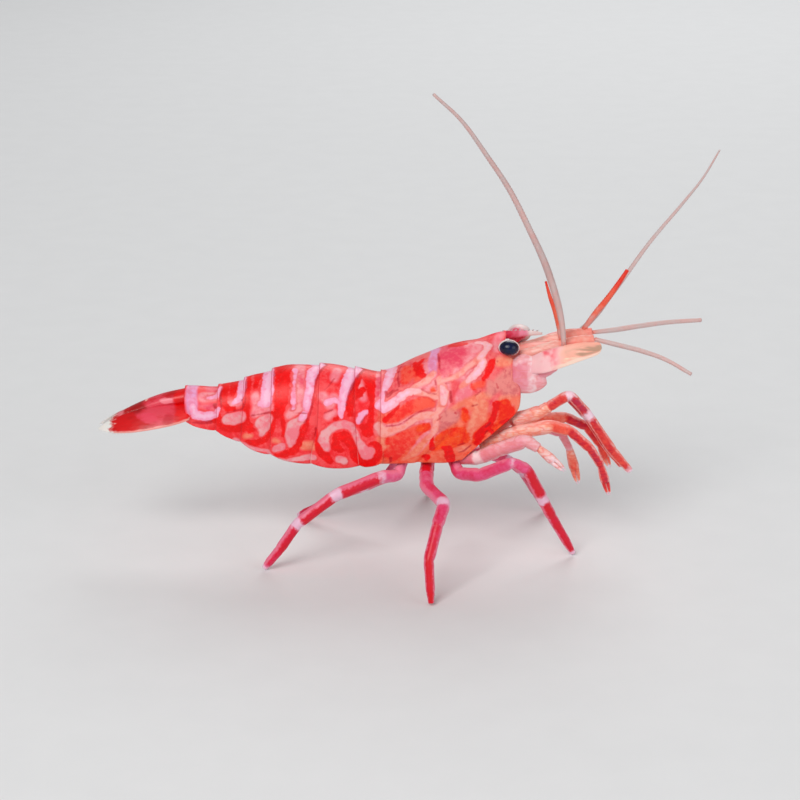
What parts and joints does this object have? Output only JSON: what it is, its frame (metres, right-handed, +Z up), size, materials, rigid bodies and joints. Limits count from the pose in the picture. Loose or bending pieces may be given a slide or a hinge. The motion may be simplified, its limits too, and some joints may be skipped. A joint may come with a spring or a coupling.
{
  "type": "bee shrimp",
  "caption": "Still, life-size model of a live red-and-white bee shrimp standing on its walking legs with its feelers raised.",
  "frame": {"origin": "centre of the footprint of the whole animal, feelers included, on the floor that its feet stand on", "axes": "+X towards the head along the body, +Y to the animal's left, +Z up"},
  "size_m": [0.0407, 0.0207, 0.0309],
  "materials": {
    "shell": "red and pinkish-white marbled shell, softly shiny",
    "head": "pale peach-pink, slightly see-through shell",
    "limb": "magenta-red segments with pale joints",
    "claw": "red and white claw tips",
    "eye": "glossy blue-black eye",
    "feeler": "ringed feeler, red at its root and greyish pink beyond"
  },
  "bodies": {
    "root": {"abdomen_1": "shell", "abdomen_2": "shell", "abdomen_3": "shell", "abdomen_4": "shell", "abdomen_5": "shell", "abdomen_6": "shell", "antenna_L": "feeler", "antenna_R": "feeler", "antenna_base_L": "head", "antenna_base_R": "head", "antennal_scale_L": "head", "antennal_scale_R": "head", "antennule_base_L": "head", "antennule_base_R": "head", "antennule_inner_L": "feeler", "antennule_inner_R": "feeler", "antennule_outer_L": "feeler", "antennule_outer_R": "feeler", "carapace": "shell", "cheliped_1_L": "limb", "cheliped_1_R": "limb", "cheliped_2_L": "limb", "cheliped_2_R": "limb", "claw_1_L": "claw", "claw_1_R": "claw", "claw_2_L": "claw", "claw_2_R": "claw", "eye_L": "eye", "eye_R": "eye", "eyestalk_L": "head", "eyestalk_R": "head", "maxilliped_3_L": "limb", "maxilliped_3_R": "limb", "mouthparts": "limb", "rostrum": "head", "swimmeret_1_L": "limb", "swimmeret_1_R": "limb", "swimmeret_2_L": "limb", "swimmeret_2_R": "limb", "swimmeret_3_L": "limb", "swimmeret_3_R": "limb", "swimmeret_4_L": "limb", "swimmeret_4_R": "limb", "swimmeret_5_L": "limb", "swimmeret_5_R": "limb", "telson": "shell", "uropod_inner_L": "shell", "uropod_inner_R": "shell", "uropod_outer_L": "shell", "uropod_outer_R": "shell", "walking_leg_3_L": "limb", "walking_leg_3_R": "limb", "walking_leg_4_L": "limb", "walking_leg_4_R": "limb", "walking_leg_5_L": "limb", "walking_leg_5_R": "limb"}
  },
  "joints": []
}
